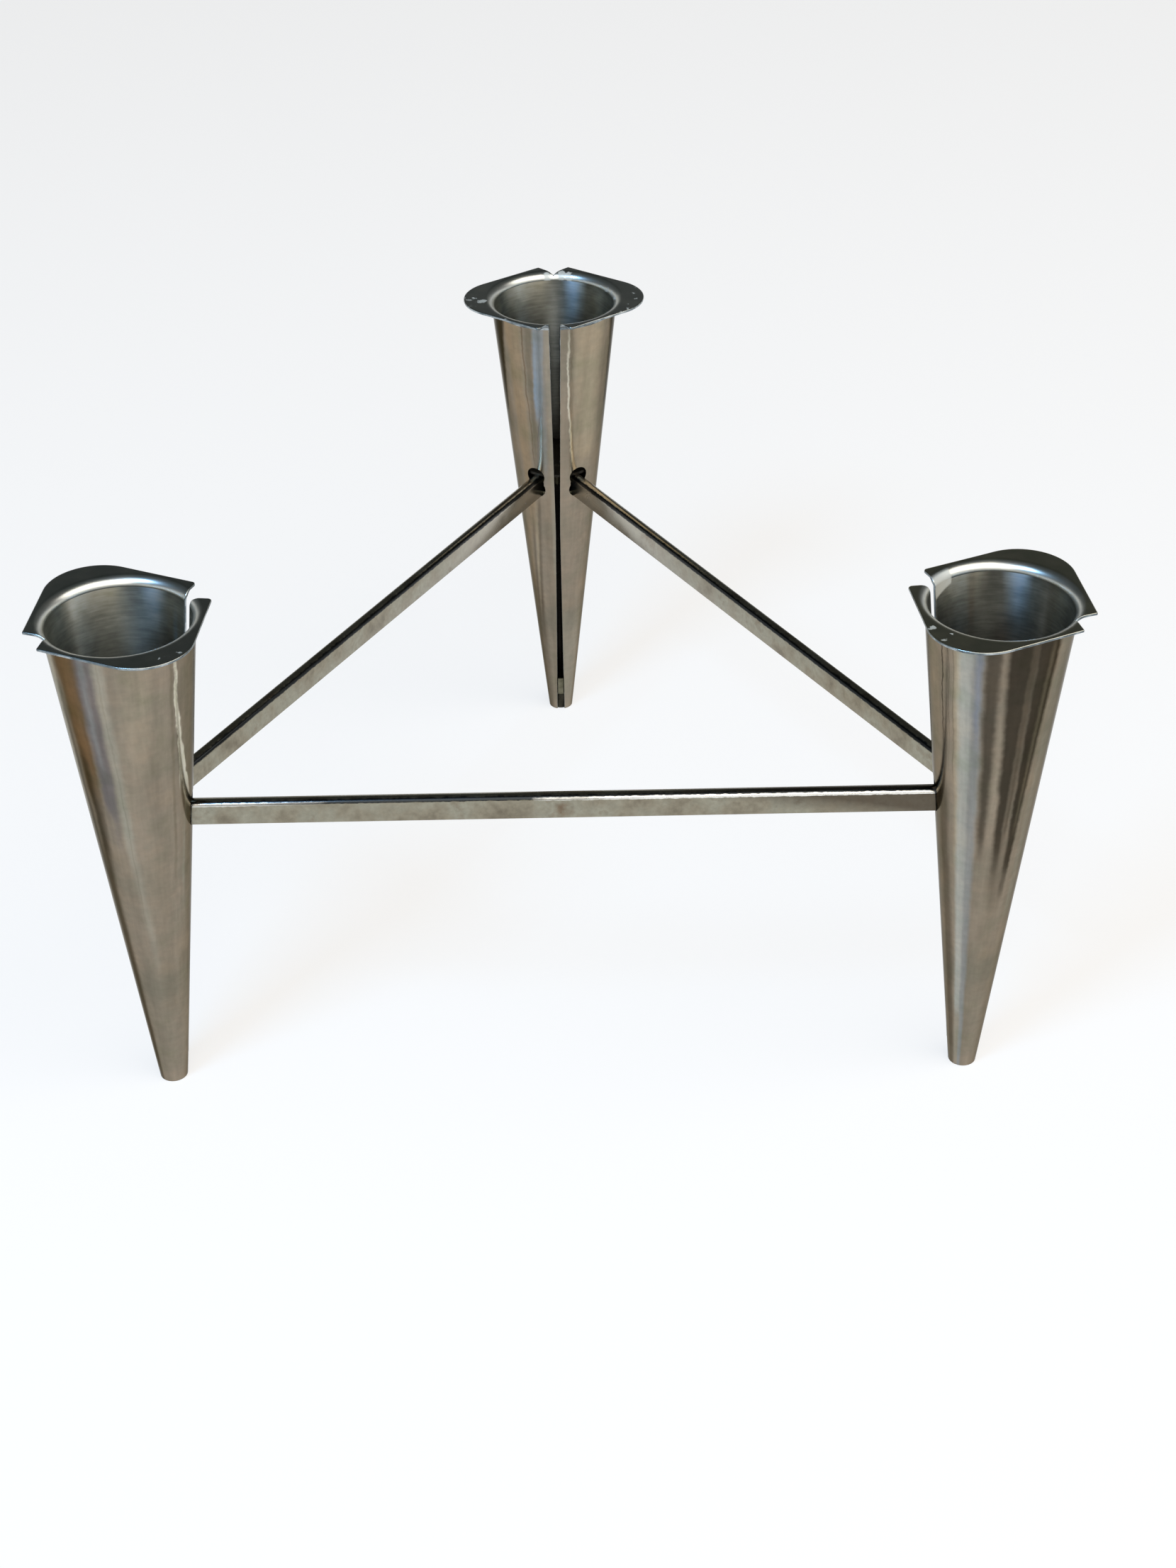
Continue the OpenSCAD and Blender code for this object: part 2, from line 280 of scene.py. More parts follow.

# Marks inside each cup, in the same terms, most of them painted light. Every cup has the first three: a
# painted blue reflection under the flare, a painted pale highlight crescent on its far side and a painted
# warm reflection low down, and the two darker cups start from a layer of painted shade
PAINTED_BLUE_REFLECTION = ("frost", 1.0, (176, 70, 20), (160, 67, 12), 14)
PAINTED_CRESCENT_HIGHLIGHT = ("ivory", 0.85, (180, 120, 60), (163, 122, 48), 16)
PAINTED_WARM_REFLECTION = ("umber", 0.9, (150, 67, 30), (90, 65, 30), 18)
CUP_MARKS = {
    "left": (
        PAINTED_BLUE_REFLECTION,
        PAINTED_WARM_REFLECTION,
        PAINTED_CRESCENT_HIGHLIGHT,
        # Left cup: a painted blue glint and a painted sheen line
        ("sky", 0.6, (158, 47, 5), (134, 47, 4), 4),
        ("pewter", 0.25, (150, 125, 8), (112, 125, 8), 8),
    ),
    "back": (
        ("painted_dark", 0.35, (LEG_HEIGHT, 100, 110), (90, 100, 110), 20),
        PAINTED_BLUE_REFLECTION,
        PAINTED_WARM_REFLECTION,
        PAINTED_CRESCENT_HIGHLIGHT,
        # Back cup: a painted sheen line
        ("pewter", 0.25, (160, 96, 6), (112, 96, 6), 6),
    ),
    "right": (
        ("painted_dark", 0.45, (LEG_HEIGHT, 95, 120), (90, 95, 120), 20),
        PAINTED_BLUE_REFLECTION,
        PAINTED_WARM_REFLECTION,
        PAINTED_CRESCENT_HIGHLIGHT,
        ("pewter", 0.4, (156, 137, 8), (136, 138, 5), 4),
        ("orange", 0.25, (172, 106, 7), (152, 105, 5), 5),
    ),
}

# Patch of old wax beside the right cup's slot, in the same terms. Its lower edge lies where the height, plus
# the climb for each degree of bearing, comes to the foot, and it ends just under the flange's top
WAX_PATCH = ("wax", 0.9, (200, 135, 20), (145, 135, 20), 2)
WAX_CLIMB = 0.13
WAX_FOOT = 182.7
WAX_EDGE = 0.8
WAX_HEAD = (LEG_HEIGHT - 0.1, LEG_HEIGHT - 0.7)

# How few specks of wax lie on each flange
SPECK_START = {"left": 0.38, "back": 0.34, "right": 0.43}

# Crumbs of old wax on the flanges: place about the leg's axis and radius. Their teeth eat into the edge
CRUMB_TEETH = 4
CRUMB_EDGE = (2.3, 1.9)
CRUMBS = {
    "left": ((16.9, -23.3, 0.4), (14.8, -24.5, 0.2), (19.8, -21.8, 0.1)),
    "back": ((-25.7, -2.6, 1.4), (-28.6, -0.4, 0.5), (-2.6, 21.4, 1.1), (3.0, 22.2, 1.3), (5.6, 21.6, 1.1),
             (29.4, -2.4, 0.5), (28.6, 2.6, 0.2), (15.8, -22.9, 0.3)),
    "right": ((-22.4, -15.6, 0.9), (-17.1, -18.9, 0.2)),
}

# Tone of the flange's top on each leg, darker than the flare as a painted dark reflection
FLANGE_TONES = {"left": "#7a7e7a", "back": "#797d7a", "right": "#878574"}

# Height over which a streak fades at its ends
FADE = 10

# How far a streak wavers and frays sideways in degrees, and how raggedly it ends in height
WAVER = 6
FRAY = 2.5
RAGGED_ENDS = 30

# Height where the wall inside a cup is darkest, as painted shade, and where the sheet's edge is dull and
# where it is bright
CUP_FOOT = 90
EDGE_DULL = 130
EDGE_BRIGHT = 160


def lay_streak(tree, base, bearing, height, streak):
    """Lays one soft streak on a colour: it drifts and changes width from head to foot."""
    tone, strength, (head, head_bearing, head_width), (foot, foot_bearing, foot_width), blur = streak
    middle = add(tree, "MapRange", {
        "Value": height, "From Min": foot, "From Max": head, "To Min": foot_bearing, "To Max": head_bearing})
    reach = add(tree, "MapRange", {
        "Value": height, "From Min": foot, "From Max": head, "To Min": foot_width / 2,
        "To Max": head_width / 2})
    aside = add(tree, "Math", {0: bearing, 1: middle}, operation="SUBTRACT")
    aside = add(tree, "Math", {0: aside}, operation="ABSOLUTE")
    spare = add(tree, "Math", {0: reach, 1: aside}, operation="SUBTRACT")
    across = add(tree, "MapRange", {"Value": spare, "From Min": -blur / 2, "From Max": blur / 2},
                 interpolation_type="SMOOTHSTEP")
    top = 2 * head if head == LEG_HEIGHT else head
    from_middle = add(tree, "Math", {0: height, 1: (top + foot) / 2}, operation="SUBTRACT")
    span = (top - foot) / 2
    from_middle = add(tree, "Math", {0: from_middle}, operation="ABSOLUTE")
    along = add(tree, "MapRange", {
        "Value": from_middle, "From Min": span + FADE, "From Max": span - FADE, "To Max": strength},
        interpolation_type="SMOOTHSTEP")
    share = add(tree, "Math", {0: across, 1: along}, operation="MULTIPLY")
    return add(tree, "Mix", {0: share, 6: base, 7: TONES[tone]}, **COLOUR_MIX)


def lay_wax(tree, base, waxed):
    """Covers a share of the metal with old wax: gives the colour and how far it is still metal."""
    metal = add(tree, "Math", {0: 1.0, 1: waxed}, operation="SUBTRACT")
    return add(tree, "Mix", {0: waxed, 6: base, 7: "#b6b7b0"}, **COLOUR_MIX), metal


def wax_patch(tree, bearing, height):
    """Share of the right cup's wax patch, whose clear lower edge climbs away from the slot."""
    patch = lay_streak(tree, "#000000", bearing, height, WAX_PATCH)
    climb = add(tree, "Math", {0: bearing, 1: WAX_CLIMB, 2: height}, operation="MULTIPLY_ADD")
    above = add(tree, "MapRange", {"Value": climb, "From Min": WAX_FOOT, "From Max": WAX_FOOT + WAX_EDGE})
    return add(tree, "Math", {0: patch, 1: above}, operation="MULTIPLY")


def satin_outside(leg):
    """Stainless sheet polished to a satin: soft cloudy tone, long streaks of painted reflection and a clear
    gloss.
    """
    material, tree, place = new_material(f"satin_stainless_outside_{leg}")
    centred, bearing, height = about_axis(tree, place, leg)
    # Streaks waver a degree or two, with waves 15 mm long, and fray at their sides over 2 mm
    waver = add(tree, "TexNoise", {"Vector": centred, "Scale": grain(15), "Detail": 2.0})
    waver = add(tree, "Math", {0: waver, 1: -0.5})
    fray = add(tree, "TexNoise", {"Vector": centred, "Scale": grain(2), "Detail": 3.0})
    fray = add(tree, "Math", {0: fray, 1: -0.5})
    ragged = add(tree, "Math", {0: waver, 1: RAGGED_ENDS, 2: height}, operation="MULTIPLY_ADD")
    bearing = add(tree, "Math", {0: waver, 1: WAVER, 2: bearing}, operation="MULTIPLY_ADD")
    bearing = add(tree, "Math", {0: fray, 1: FRAY, 2: bearing}, operation="MULTIPLY_ADD")
    patches = add(tree, "TexNoise", {"Vector": centred, "Scale": grain(30), "Detail": 3.0})
    base = add(tree, "ValToRGB", {0: patches},
               ((0.32, "#7f796c"), (0.45, "#898072"), (0.55, "#8e8476"), (0.68, "#888174")))
    # The streaks are painted reflections of the room round the cone
    for streak in REFLECTION_STREAKS[leg] + FAR_REFLECTION_STREAKS:
        base = lay_streak(tree, base, bearing, ragged, streak)
    # Wiping marks 3 mm long round the cone, stains 10 mm wide, and lines along it 5 mm and 1 mm apart
    smeared = add(tree, "Mapping", {"Vector": centred, "Scale": (0.6, 0.6, 1)})
    wiped = add(tree, "TexNoise", {"Vector": smeared, "Scale": grain(1.8), "Detail": 4.0})
    clouds = add(tree, "TexNoise", {"Vector": centred, "Scale": grain(10), "Detail": 4.0, "Roughness": 0.6})
    stretched = add(tree, "Mapping", {"Vector": centred, "Scale": (1, 1, 1 / 30)})
    polish = add(tree, "TexNoise", {"Vector": stretched, "Scale": grain(1), "Detail": 3.0})
    bands = add(tree, "TexNoise", {"Vector": stretched, "Scale": grain(5), "Detail": 3.0})
    tint = add(tree, "ValToRGB", {0: clouds},
               ((0.3, "#a7ab9f"), (0.45, "#b6b5b0"), (0.55, "#bfbab5"), (0.7, "#cac2b9")))
    base = add(tree, "Mix", {0: 0.55, 6: base, 7: tint}, **OVERLAY)
    layers = ((0.4, bands, 0.36, 0.64), (0.13, wiped, 0.3, 0.7), (0.1, polish, 0.3, 0.7))
    for share, marks, low, high in layers:
        marks = add(tree, "ValToRGB", {0: marks}, ((0.3, low), (0.7, high)))
        base = add(tree, "Mix", {0: share, 6: base, 7: marks}, **OVERLAY)
    gloss = add(tree, "ValToRGB", {0: patches}, ((0.35, 0.15), (0.7, 0.21)))
    relief = add(tree, "Bump", {"Height": wiped, "Strength": 0.06, "Distance": 0.02 * MM})
    finish_metal(tree, base, gloss, relief, **{"Specular Tint": "#b6b4af"})
    return material


def brushed_inside(leg):
    """Stainless sheet inside the cup: brushed round in fine rings, which spread light up and down."""
    material, tree, place = new_material(f"ring_brushed_stainless_{leg}")
    centred, bearing, height = about_axis(tree, place, leg)
    # Rings 0.7 mm apart, drawn a little coarser than the real brushing so that they show
    rings = add(tree, "Mapping", {"Vector": centred, "Scale": (1 / 8, 1 / 8, 1)})
    brushing = add(tree, "TexNoise", {"Vector": rings, "Scale": grain(0.7), "Detail": 3.0})
    wear = add(tree, "TexNoise", {"Vector": centred, "Scale": grain(7), "Detail": 3.0})
    # Darker towards the cup's foot as painted shade, with a slightly darker ring under the flare
    rise = add(tree, "MapRange", {"Value": height, "From Min": CUP_FOOT, "From Max": LEG_HEIGHT})
    base = add(tree, "ValToRGB", {0: rise}, (
        (0.0, "#1c1b19"), (0.2, "#3a3a37"), (0.36, "#797b75"), (0.75, "#9b9d97"), (0.93, "#a2a49e"),
        (0.965, "#80827d")))
    # Painted reflections, highlight and shade, and the other marks, from the cup's table
    for streak in CUP_MARKS[leg]:
        base = lay_streak(tree, base, bearing, height, streak)
    brushing = add(tree, "ValToRGB", {0: brushing}, ((0.32, 0.3), (0.68, 0.7)))
    base = add(tree, "Mix", {0: 0.4, 6: base, 7: brushing}, **OVERLAY)
    wear = add(tree, "ValToRGB", {0: wear}, ((0.32, "#9a9a96"), (0.68, "#dadbd9")))
    base = add(tree, "Mix", {0: 0.5, 6: base, 7: wear}, **OVERLAY)
    relief = add(tree, "Bump", {"Height": brushing, "Strength": 0.1, "Distance": 0.02 * MM})
    metal = 1.0
    if leg == "right":
        base, metal = lay_wax(tree, base, wax_patch(tree, bearing, height))
    finish_metal(tree, base, 0.35, relief, Metallic=metal, Anisotropic=0.75, **{
        "Anisotropic Rotation": 0.25, "Tangent": add(tree, "Tangent", direction_type="UV_MAP")})
    return material


def burnished_flare(leg):
    """The flare and its flange, burnished where the sheet was turned out: dark gloss, rubs and wax specks."""
    material, tree, place = new_material(f"burnished_stainless_flare_{leg}")
    centred, bearing, height = about_axis(tree, place, leg)
    rubs = add(tree, "TexNoise", {"Vector": centred, "Scale": grain(8), "Detail": 4.0})
    # Lighter across the bend; the flange's top is darker as a painted dark reflection
    rise = add(tree, "MapRange", {"Value": height, "From Min": BEND_START, "From Max": LEG_HEIGHT})
    base = add(tree, "ValToRGB", {0: rise}, (
        (0.0, "#7f817c"), (0.15, "#c2c4c0"), (0.6, "#d8dad7"), (0.94, "#b0b2ae"), (1.0, FLANGE_TONES[leg])))
    tint = add(tree, "ValToRGB", {0: rubs}, ((0.3, "#a3a9a6"), (0.5, "#bcbcbc"), (0.7, "#d9d8d0")))
    base = add(tree, "Mix", {0: 0.6, 6: base, 7: tint}, **OVERLAY)
    # Specks of old wax 2 to 3 mm wide lie only here and there
    specks = add(tree, "TexNoise", {"Vector": centred, "Scale": grain(3), "Detail": 3.0})
    sparse = add(tree, "TexNoise", {"Vector": centred, "Scale": grain(16), "Detail": 1.0})
    specks = add(tree, "Math", {0: specks, 1: sparse}, operation="MULTIPLY")
    start = SPECK_START[leg]
    waxed = add(tree, "ValToRGB", {0: specks}, ((start, 0.0), (start + 0.02, 0.7)))
    # Crumbs have ragged edges, with teeth 1.5 mm apart
    teeth = add(tree, "TexNoise", {"Vector": centred, "Scale": grain(1.5), "Detail": 2.0})
    flat = add(tree, "Mapping", {"Vector": centred, "Scale": (1, 1, 0)})
    for x, y, radius in CRUMBS[leg]:
        off = add(tree, "VectorMath", {0: flat, 1: (x * MM, y * MM, 0)}, operation="DISTANCE")
        off = add(tree, "Math", {0: teeth, 1: CRUMB_TEETH * MM, 2: off}, operation="MULTIPLY_ADD")
        outer, inner = ((radius + edge) * MM for edge in CRUMB_EDGE)
        crumb = add(tree, "MapRange", {"Value": off, "From Min": outer, "From Max": inner, "To Max": 0.8})
        waxed = add(tree, "Math", {0: waxed, 1: crumb}, operation="MAXIMUM")
    if leg == "right":
        patch = wax_patch(tree, bearing, height)
        below_top = add(tree, "MapRange", {
            "Value": height, "From Min": WAX_HEAD[0], "From Max": WAX_HEAD[1]})
        patch = add(tree, "Math", {0: patch, 1: below_top}, operation="MULTIPLY")
        waxed = add(tree, "Math", {0: waxed, 1: patch}, operation="MAXIMUM")
    base, metal = lay_wax(tree, base, waxed)
    gloss = add(tree, "ValToRGB", {0: specks}, ((start - 0.01, 0.31), (start + 0.02, 0.45)))
    relief = add(tree, "Bump", {"Height": rubs, "Strength": 0.04, "Distance": 0.1 * MM})
    finish_metal(tree, base, gloss, relief, Metallic=metal)
    return material


def sheared_edge():
    """Sheared edge of the sheet: bare metal, nicked, its blue-grey partly a painted reflection of the blue
    window lamp, brighter round the flange and darker further down.
    """
    material, tree, place = new_material("sheared_stainless_edge")
    wear = add(tree, "TexNoise", {"Vector": place, "Scale": grain(4), "Detail": 4.0})
    base = add(tree, "ValToRGB", {0: wear}, ((0.32, "#535a5d"), (0.5, "#7c868b"), (0.68, "#bcc3c6")))
    height = add(tree, "SeparateXYZ", {0: place}).node.outputs["Z"]
    low = add(tree, "MapRange", {
        "Value": height, "From Min": EDGE_BRIGHT * MM, "From Max": EDGE_DULL * MM, "To Max": 0.8})
    base = add(tree, "Mix", {0: low, 6: base, 7: "#625e54"}, **COLOUR_MIX)
    gloss = add(tree, "ValToRGB", {0: wear}, ((0.3, 0.2), (0.7, 0.32)))
    relief = add(tree, "Bump", {"Height": wear, "Strength": 0.15, "Distance": 0.08 * MM})
    finish_metal(tree, base, gloss, relief)
    return material


# The bars' finish, with its painted reflections and painted highlight. Places along the front bar run to the
# right from its middle, and drift with the stains
DRIFT = 50
FRONT_ONLY = (10, 2)
PALE_NEAR_BACK = (85, 20)
WEDGE = (55, 90)
WEDGE_LEAN = 50
HIGHLIGHT_RIGHT = (15, 45)
HIGHLIGHT_LEFT = (-50, -90)
TOP_TEETH = 0.6
TOP_BAND = (-1.7, 0.3)


def paint_pale_near_back(tree, base, place):
    """Paints the bars pale towards the back leg, a painted reflection of the lit leg."""
    hub = (AXIS["back"].x * MM, AXIS["back"].y * MM, BAR_TOP * MM)
    from_hub = add(tree, "VectorMath", {0: place, 1: hub}, operation="DISTANCE")
    far, near = (reach * MM for reach in PALE_NEAR_BACK)
    pale = add(tree, "MapRange", {"Value": from_hub, "From Min": far, "From Max": near, "To Max": 0.75})
    return add(tree, "Mix", {0: pale, 6: base, 7: "#dad4c6"}, **COLOUR_MIX)


def paint_right_end_reflection(tree, base, rise, drift, front):
    """Lays the painted brown reflection that wedges in from the front bar's right end."""
    climb = add(tree, "MapRange", {
        "Value": rise, "From Min": BAR_BASE * MM, "From Max": BAR_TOP * MM,
        "To Min": -WEDGE_LEAN * MM, "To Max": 0})
    wedge = add(tree, "Math", {0: drift, 1: climb})
    start, full = (reach * MM for reach in WEDGE)
    wedge = add(tree, "MapRange", {"Value": wedge, "From Min": start, "From Max": full, "To Max": 0.75})
    wedge = add(tree, "Math", {0: wedge, 1: front}, operation="MULTIPLY")
    return add(tree, "Mix", {0: wedge, 6: base, 7: "#43362b"}, **COLOUR_MIX)


def paint_top_edge_light(tree, base, rise, fine, drift, front):
    """Paints the eased top edge dark as a painted dark reflection, but for a ragged painted highlight line on
    the front bar's right half and left end.
    """
    ragged = add(tree, "Math", {0: fine, 1: TOP_TEETH * MM, 2: rise}, operation="MULTIPLY_ADD")
    low, high = ((BAR_TOP + edge) * MM for edge in TOP_BAND)
    top = add(tree, "MapRange", {"Value": ragged, "From Min": low, "From Max": high})
    painted_dark_top = add(tree, "ValToRGB", {0: top}, ((0.26, 0.0), (0.38, 1.0), (0.82, 1.0), (0.92, 0.25)))
    base = add(tree, "Mix", {0: painted_dark_top, 6: base, 7: "#2e3133"}, **COLOUR_MIX)
    line = add(tree, "ValToRGB", {0: top}, ((0.12, 0.0), (0.22, 1.0), (0.58, 1.0), (0.68, 0.0)))
    start, full = (reach * MM for reach in HIGHLIGHT_RIGHT)
    painted_highlight = add(tree, "MapRange", {"Value": drift, "From Min": start, "From Max": full})
    start, full = (reach * MM for reach in HIGHLIGHT_LEFT)
    left_end = add(tree, "MapRange", {"Value": drift, "From Min": start, "From Max": full, "To Max": 0.8})
    painted_highlight = add(tree, "Math", {0: painted_highlight, 1: left_end}, operation="MAXIMUM")
    for share in (front, line):
        painted_highlight = add(tree, "Math", {0: painted_highlight, 1: share}, operation="MULTIPLY")
    return add(tree, "Mix", {0: painted_highlight, 6: base, 7: "#f4f3ee"}, **COLOUR_MIX)


def drawn_bar():
    """Drawn flat bar: soft stains and a clear gloss, with painted reflections: pale near the back leg, brown
    at the front bar's right end, and a dark top edge with a painted highlight line.
    """
    material, tree, place = new_material("drawn_stainless_bar")
    stains = add(tree, "TexNoise", {"Vector": place, "Scale": grain(12), "Detail": 5.0, "Roughness": 0.6})
    fine = add(tree, "TexNoise", {"Vector": place, "Scale": grain(1.6), "Detail": 4.0})
    base = add(tree, "ValToRGB", {0: stains},
               ((0.3, "#776f60"), (0.44, "#908978"), (0.58, "#9a9787"), (0.72, "#7c6d5b")))
    base = add(tree, "Mix", {0: 0.22, 6: base, 7: fine}, **OVERLAY)
    spot = add(tree, "SeparateXYZ", {0: place}).node.outputs
    drift = add(tree, "Math", {0: stains, 1: DRIFT * MM, 2: spot["X"]}, operation="MULTIPLY_ADD")
    behind, before = (FRONT_BAR_HIGH.y + reach * MM for reach in FRONT_ONLY)
    front = add(tree, "MapRange", {"Value": spot["Y"], "From Min": behind, "From Max": before})
    # Painted reflections and a painted highlight line over the stains
    base = paint_pale_near_back(tree, base, place)
    base = paint_right_end_reflection(tree, base, spot["Z"], drift, front)
    base = paint_top_edge_light(tree, base, spot["Z"], fine, drift, front)
    gloss = add(tree, "ValToRGB", {0: stains}, ((0.3, 0.18), (0.7, 0.28)))
    relief = add(tree, "Bump", {"Height": stains, "Strength": 0.1, "Distance": 0.3 * MM})
    finish_metal(tree, base, gloss, relief)
    return material


def dark_plate():
    """Plate under the candle: dark, mottled stainless."""
    material, tree, place = new_material("dark_stainless_plate")
    marks = add(tree, "TexNoise", {"Vector": place, "Scale": grain(6), "Detail": 5.0})
    base = add(tree, "ValToRGB", {0: marks}, ((0.35, "#1f1d19"), (0.6, "#3d3a34"), (0.72, "#6d6a60")))
    gloss = add(tree, "ValToRGB", {0: marks}, ((0.3, 0.35), (0.7, 0.6)))
    relief = add(tree, "Bump", {"Height": marks, "Strength": 0.2, "Distance": 0.1 * MM})
    finish_metal(tree, base, gloss, relief)
    return material


def weld_metal():
    """Weld metal, dressed smooth: a straw and grey tint with soft ripples."""
    material, tree, place = new_material("dressed_weld")
    ripple = add(tree, "TexNoise", {"Vector": place, "Scale": grain(2.5), "Detail": 3.0})
    base = add(tree, "ValToRGB", {0: ripple}, ((0.35, "#504e3e"), (0.65, "#73705f")))
    gloss = add(tree, "ValToRGB", {0: ripple}, ((0.3, 0.25), (0.7, 0.4)))
    relief = add(tree, "Bump", {"Height": ripple, "Strength": 0.25, "Distance": 0.1 * MM})
    finish_metal(tree, base, gloss, relief)
    return material


def dark_plug():
    """Turned plug in the tip: dark, mottled steel."""
    material, tree, place = new_material("dark_steel_plug")
    age = add(tree, "TexNoise", {"Vector": place, "Scale": grain(2), "Detail": 4.0})
    base = add(tree, "ValToRGB", {0: age}, ((0.35, "#24221d"), (0.65, "#3f3d34")))
    gloss = add(tree, "ValToRGB", {0: age}, ((0.3, 0.35), (0.7, 0.5)))
    relief = add(tree, "Bump", {"Height": age, "Strength": 0.15, "Distance": 0.05 * MM})
    finish_metal(tree, base, gloss, relief)
    return material


def line_reach(start, end, bearing):
    """Distance from the axis to the line through two points, along a bearing."""
    run = (end[0] - start[0], end[1] - start[1])
    return (start[0] * run[1] - start[1] * run[0]) / (math.cos(bearing) * run[1] - math.sin(bearing) * run[0])


def outline_reach(bearing):
    """How far the flange reaches at a bearing from the outward direction."""
    bearing = abs(bearing)
    if bearing <= CORNER_BEARING:
        return line_reach((NOTCH_ROOT, 0), CORNER_POINT, bearing)
    if bearing > math.pi / 2:
        bearing = math.pi - bearing
    if bearing < LOBE_BEARING:
        return line_reach(CORNER_POINT, LOBE_POINT, bearing)
    across = LOBE_CENTRE * math.cos(bearing)
    return LOBE_CENTRE * math.sin(bearing) + math.sqrt(LOBE_RADIUS ** 2 - across ** 2)


def flange_length(reach):
    """Length along the sheet from the start of the bend out to a radius."""
    if reach >= BEND_MIDDLE:
        return BEND_RADIUS * BEND_SWEEP + reach - BEND_MIDDLE
    turn = math.acos((reach - BEND_MIDDLE) / BEND_RADIUS)
    return BEND_RADIUS * (math.pi - WALL_ANGLE - turn)


def flange_place(length):
    """Radius and height at a length along the sheet from the start of the bend."""
    if length >= BEND_RADIUS * BEND_SWEEP:
        return BEND_MIDDLE + length - BEND_RADIUS * BEND_SWEEP, LEG_HEIGHT
    turn = math.pi - WALL_ANGLE - length / BEND_RADIUS
    return BEND_MIDDLE + BEND_RADIUS * math.cos(turn), BEND_HEIGHT + BEND_RADIUS * math.sin(turn)


def slot_half_width(height):
    for (z0, w0), (z1, w1) in zip(SLOT_WIDTHS, SLOT_WIDTHS[1:]):
        if height <= z1:
            return (w0 + (w1 - w0) * (height - z0) / (z1 - z0)) / 2
    return SLOT_WIDTHS[-1][1] / 2


def seam_half_angle(radius, height):
    """Half the angle that the open seam takes up, which widens into the mouth across the flange."""
    half = slot_half_width(height)
    if radius <= NOTCH_ROOT:
        return math.asin(half / radius)
    start = Vector((NOTCH_ROOT, half))
    run = Vector(CORNER_POINT) - start
    along = start.dot(run)
    root = math.sqrt(along ** 2 - run.length_squared * (start.length_squared - radius ** 2))
    point = start + run * (root - along) / run.length_squared
    return math.atan2(point.y, point.x)


def spread(keys, counts):
    """Values from key to key, each stretch cut into its count of equal steps."""
    values = [keys[0]]
    for start, end, count in zip(keys, keys[1:], counts):
        values += [start + (end - start) * (i + 1) / count for i in range(count)]
    return values


# The grid that becomes a shell: rows up the wall and over the flange, columns from the outer side to the slot
WALL_ROWS = 30
FLANGE_ROWS = 26
MOUTH_ZONE = 0.07
END_BEARING = math.pi - CORNER_BEARING
HALF_COLUMNS = spread(
    (0, CORNER_BEARING, LOBE_BEARING, math.pi - LOBE_BEARING, END_BEARING - MOUTH_ZONE, END_BEARING),
    (8, 20, 20, 18, 6))

# The flange's two edges as they leave a corner of the mouth: one along its outline, one into the slot
CORNER = Vector(CORNER_POINT)
SLOT_EDGE = Vector((NOTCH_ROOT, SLOT_WIDTHS[-1][1] / 2))
CORNER_EDGES = Matrix((
    (Vector(LOBE_POINT) - CORNER).normalized(), (SLOT_EDGE - CORNER).normalized())).transposed()


def round_mouth(place):
    """Draws a point near a corner of the slot's mouth in, ring by ring, so that the corner turns an arc."""
    side = Vector((-1, math.copysign(1, place.y)))
    inset = CORNER_EDGES.inverted() @ (Vector((place.x, place.y)) * side - CORNER)
    a, b = MOUTH_ROUNDING - inset.x, MOUTH_ROUNDING - inset.y
    if place.x > 0 or min(a, b) <= 0:
        return place
    ring = 2 * max(a, b) ** 2
    inset = Vector((
        MOUTH_ROUNDING - a * math.sqrt(1 - b * b / ring), MOUTH_ROUNDING - b * math.sqrt(1 - a * a / ring)))
    flat = (CORNER + CORNER_EDGES @ inset) * side
    return Vector((flat.x, flat.y, place.z))


def place_in_sheet(column, row):
    """Place of a grid point about the leg's axis, +X outwards, on the cup side of the sheet.

    The last row and the outer columns are the sheet's edges, and their neighbours keep a margin from them.
    """
    if row <= WALL_ROWS:
        height = BEND_START * row / WALL_ROWS
        radius = cone_inner(height)
        seam = seam_half_angle(radius, height)
    else:
        share = (row - WALL_ROWS) / (FLANGE_ROWS - 1)
        full = flange_length(outline_reach(END_BEARING))
        edge = flange_place(full if share > 1 else (full - EDGE_MARGIN) * share)
        seam = seam_half_angle(*edge)
        full = flange_length(outline_reach(column))
        radius, height = flange_place(full if share > 1 else (full - EDGE_MARGIN) * share)
    open_to = math.pi - seam
    if abs(column) < END_BEARING:
        open_to -= EDGE_MARGIN / radius
        bearing = column / HALF_COLUMNS[-2] * open_to
    else:
        bearing = math.copysign(open_to, column)
    return round_mouth(Vector((radius * math.cos(bearing), radius * math.sin(bearing), height)))


def deselect():
    if bpy.context.object and bpy.context.object.mode != "OBJECT":
        bpy.ops.object.mode_set(mode="OBJECT")
    bpy.ops.object.select_all(action="DESELECT")


def only(piece):
    deselect()
    piece.select_set(True)
    bpy.context.view_layer.objects.active = piece


def open_mesh(piece):
    """Opens a piece for editing, with its whole mesh selected."""
    only(piece)
    bpy.ops.object.mode_set(mode="EDIT")
    bpy.ops.mesh.select_all(action="SELECT")


def apply_modifier(piece, kind, **settings):
    only(piece)
    made = piece.modifiers.new(kind, kind)
    for name, value in settings.items():
        setattr(made, name, value)
    bpy.ops.object.modifier_apply(modifier=made.name)


def ease_edges(piece, width):
    """Rounds a piece's sharp edges."""
    apply_modifier(piece, "BEVEL", width=width * MM, segments=EDGE_STEPS, limit_method="ANGLE",
                   angle_limit=math.radians(EDGE_ANGLE))


def named(piece, name):
    """Names a piece and rides it on the one body."""
    piece.name = name
    piece.data.name = name
    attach(piece, "root")


def onto_leg(leg):
    """From a leg's own axes, +X outwards, to the frame, in metres."""
    turn = Matrix.Rotation(math.radians(LEGS[leg]), 4, "Z")
    move = Matrix.Translation(Vector((AXIS[leg].x, AXIS[leg].y, 0)) * MM)
    return move @ turn @ Matrix.Scale(MM, 4)


